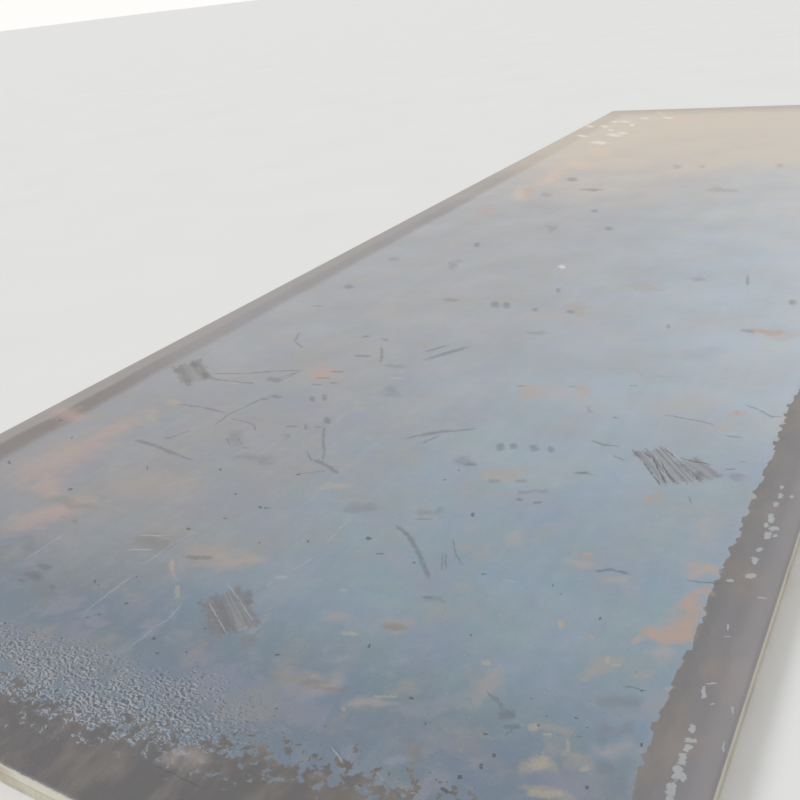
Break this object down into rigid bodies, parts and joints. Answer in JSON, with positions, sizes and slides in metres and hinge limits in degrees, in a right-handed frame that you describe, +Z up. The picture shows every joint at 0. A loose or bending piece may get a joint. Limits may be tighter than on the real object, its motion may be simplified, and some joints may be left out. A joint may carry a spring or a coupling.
{
  "type": "steel plate",
  "caption": "Hot-rolled heavy steel plate with blue-grey mill scale and sheared edges, lying flat as raw stock.",
  "frame": {"origin": "middle of the underside", "axes": "+X across the plate, +Y along it in the rolling direction, +Z up out of the top face"},
  "size_m": [2, 6, 0.05],
  "materials": {
    "mill_scale": "blue-grey mill scale, satin, with scale-free brown bands along the edges and patches of light rust"
  },
  "bodies": {
    "root": {"steel_plate": "mill_scale"}
  },
  "joints": []
}
